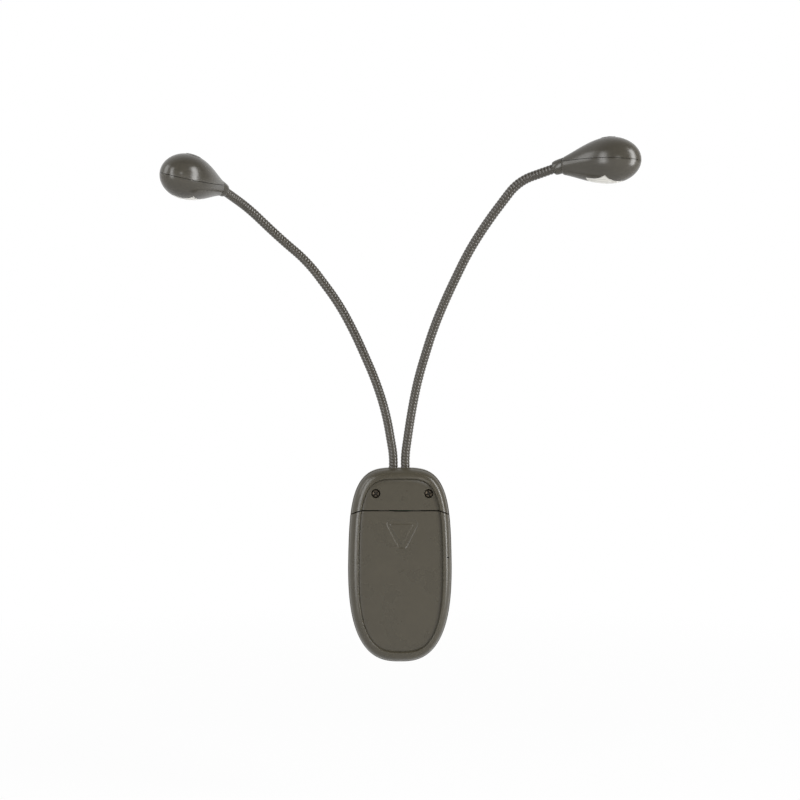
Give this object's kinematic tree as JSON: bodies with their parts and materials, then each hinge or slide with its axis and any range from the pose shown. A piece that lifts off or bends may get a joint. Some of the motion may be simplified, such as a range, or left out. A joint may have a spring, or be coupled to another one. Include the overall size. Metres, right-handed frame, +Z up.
{
  "type": "gooseneck clip-on light",
  "caption": "Battery clip-on light: bendable wound goosenecks on a flat rounded housing, an egg-shaped head with a push button and window on each, and a sprung clip behind.",
  "frame": {"origin": "middle of the clip's bite, between the faces of the two rubber pads", "axes": "+Z up along the housing, out of the jaw's closed side; -Y out of the battery door; +X to the right as seen from behind"},
  "size_m": [0.2225, 0.0939, 0.2524],
  "materials": {
    "case_plastic": "satin dark olive grey, finely grained",
    "neck_winding": "satin dark olive grey, wound",
    "soft_rubber": "matt",
    "lens_plastic": "clear to milky, polished",
    "reflector_plastic": "white, glossy",
    "led_resin": "clear resin over a yellow phosphor",
    "plated_steel": "nickel plated",
    "dark_steel": "blackened",
    "board": "green solder mask",
    "cell_jacket": "printed film, plain",
    "insulation": "grey wire insulation",
    "switch_plastic": "black"
  },
  "bodies": {
    "housing": {"front_shell": "case_plastic", "back_cover": "case_plastic", "cover_screw_left": "dark_steel", "cover_screw_right": "dark_steel", "cell_left": "cell_jacket", "cell_middle": "cell_jacket", "cell_right": "cell_jacket", "contact_positive": "plated_steel", "bridge_top": "plated_steel", "bridge_bottom": "plated_steel", "contact_negative": "plated_steel", "circuit_board": "board", "neck_anchor": "soft_rubber", "lead_left": "insulation", "lead_right": "insulation", "hinge_pin": "plated_steel", "clip_spring": "plated_steel", "fixed_pad": "soft_rubber", "neck_left_root": "neck_winding", "neck_right_root": "neck_winding"},
    "battery_door": {"battery_door": "case_plastic"},
    "clip": {"clip_arm": "case_plastic", "moving_pad": "soft_rubber"},
    "left_neck_lower": {"neck_left_lower": "neck_winding"},
    "left_neck_middle": {"neck_left_middle": "neck_winding"},
    "left_neck_upper": {"neck_left_upper": "neck_winding"},
    "left_neck_end": {"neck_left_end": "neck_winding"},
    "left_head": {"neck_left_tip": "neck_winding", "head_left_upper_shell": "case_plastic", "head_left_lower_shell": "case_plastic", "head_left_lens": "lens_plastic", "head_left_collar": "case_plastic", "head_left_reflector": "reflector_plastic", "head_left_led_inner": "led_resin", "head_left_led_outer": "led_resin", "head_left_led_board": "board", "head_left_switch": "switch_plastic", "head_left_lead": "insulation"},
    "left_button": {"head_left_button": "case_plastic"},
    "right_neck_lower": {"neck_right_lower": "neck_winding"},
    "right_neck_middle": {"neck_right_middle": "neck_winding"},
    "right_neck_upper": {"neck_right_upper": "neck_winding"},
    "right_neck_end": {"neck_right_end": "neck_winding"},
    "right_head": {"neck_right_tip": "neck_winding", "head_right_upper_shell": "case_plastic", "head_right_lower_shell": "case_plastic", "head_right_lens": "lens_plastic", "head_right_collar": "case_plastic", "head_right_reflector": "reflector_plastic", "head_right_led_inner": "led_resin", "head_right_led_outer": "led_resin", "head_right_led_board": "board", "head_right_switch": "switch_plastic", "head_right_lead": "insulation"},
    "right_button": {"head_right_button": "case_plastic"}
  },
  "joints": [
    {"name": "battery_door_slide", "type": "slide", "parent": "housing", "child": "battery_door", "axis": [0, 0, -1], "range_m": [0, 0.058]},
    {"name": "clip_hinge", "type": "hinge", "parent": "housing", "child": "clip", "pos_m": [0, 0.0036, 0.04], "axis": [1, 0, 0], "range_deg": [0, 16], "stiffness_Nm_per_rad": 0.8, "springref_deg": -20.05, "deforming": ["clip_spring"]},
    {"name": "left_neck_base_swing", "type": "hinge", "parent": "housing", "child": "left_neck_lower", "pos_m": [-0.00468, -0.00958, 0.09664], "axis": [0.0059, 0.9994, -0.0344], "range_deg": [-30, 30]},
    {"name": "left_neck_low_bend", "type": "hinge", "parent": "left_neck_lower", "child": "left_neck_middle", "pos_m": [-0.01748, -0.00731, 0.138], "axis": [0.9143, 0, 0.4051], "range_deg": [-40, 40]},
    {"name": "left_neck_mid_swing", "type": "hinge", "parent": "left_neck_middle", "child": "left_neck_upper", "pos_m": [-0.03882, -0.00593, 0.17569], "axis": [-0.0209, 0.9994, 0.0279], "range_deg": [-40, 40]},
    {"name": "left_neck_high_bend", "type": "hinge", "parent": "left_neck_upper", "child": "left_neck_end", "pos_m": [-0.06873, -0.01491, 0.20536], "axis": [0.6807, 0, 0.7325], "range_deg": [-40, 40]},
    {"name": "left_head_tilt", "type": "hinge", "parent": "left_neck_end", "child": "left_head", "pos_m": [-0.08184, -0.02843, 0.21562], "axis": [0.7865, -0.5507, -0.2795], "range_deg": [-35, 35]},
    {"name": "left_button_press", "type": "slide", "parent": "left_head", "child": "left_button", "axis": [-0.2267, 0.1636, -0.9601], "range_m": [0, 0.0008], "stiffness_N_per_m": 1500},
    {"name": "right_neck_base_swing", "type": "hinge", "parent": "housing", "child": "right_neck_lower", "pos_m": [0.00381, -0.01099, 0.09664], "axis": [0.0124, 0.9962, 0.0863], "range_deg": [-30, 30]},
    {"name": "right_neck_low_bend", "type": "hinge", "parent": "right_neck_lower", "child": "right_neck_middle", "pos_m": [0.0126, -0.01779, 0.13859], "axis": [0.9573, 0, -0.289], "range_deg": [-40, 40]},
    {"name": "right_neck_mid_swing", "type": "hinge", "parent": "right_neck_middle", "child": "right_neck_upper", "pos_m": [0.02797, -0.03028, 0.17722], "axis": [0.1489, 0.9397, 0.3079], "range_deg": [-40, 40]},
    {"name": "right_neck_high_bend", "type": "hinge", "parent": "right_neck_upper", "child": "right_neck_end", "pos_m": [0.04967, -0.04545, 0.21161], "axis": [0.7902, 0, -0.6129], "range_deg": [-40, 40]},
    {"name": "right_head_tilt", "type": "hinge", "parent": "right_neck_end", "child": "right_head", "pos_m": [0.06611, -0.05352, 0.22287], "axis": [0.4046, 0.9145, 0], "range_deg": [-35, 35]},
    {"name": "right_button_press", "type": "slide", "parent": "right_head", "child": "right_button", "axis": [-0.0468, 0.0207, -0.9987], "range_m": [0, 0.0008], "stiffness_N_per_m": 1500}
  ]
}
